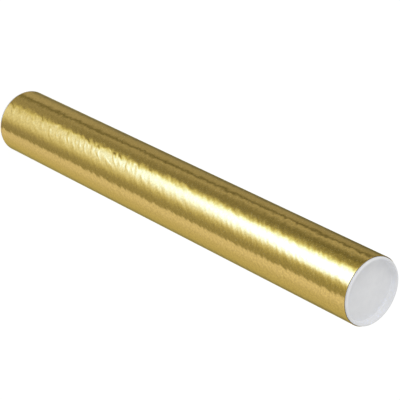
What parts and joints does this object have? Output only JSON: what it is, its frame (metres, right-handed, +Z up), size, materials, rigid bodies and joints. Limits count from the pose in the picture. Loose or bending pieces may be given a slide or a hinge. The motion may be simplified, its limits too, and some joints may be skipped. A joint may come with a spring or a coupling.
{
  "type": "mailing tube",
  "caption": "Round spiral-wound paperboard mailing tube with a gold foil outside and a white push-in plastic cap in each end.",
  "frame": {"origin": "centre of the bottom cap's rim, on the face that the tube stands on", "axes": "+Z up along the tube's axis, from the bottom cap to the top cap; the part is round, so X and Y are free"},
  "size_m": [0.0797, 0.0798, 0.6156],
  "materials": {
    "gold_foil_board": "gloss",
    "white_plastic": "satin"
  },
  "bodies": {
    "bottom_cap": {"bottom_cap": "white_plastic"},
    "tube": {"tube": "gold_foil_board"},
    "top_cap": {"top_cap": "white_plastic"}
  },
  "joints": [
    {"name": "tube_lift", "type": "slide", "parent": "bottom_cap", "child": "tube", "axis": [0, 0, 1], "range_m": [0, 0.1]},
    {"name": "top_cap_pull", "type": "slide", "parent": "tube", "child": "top_cap", "axis": [0, 0, 1], "range_m": [0, 0.1]}
  ]
}
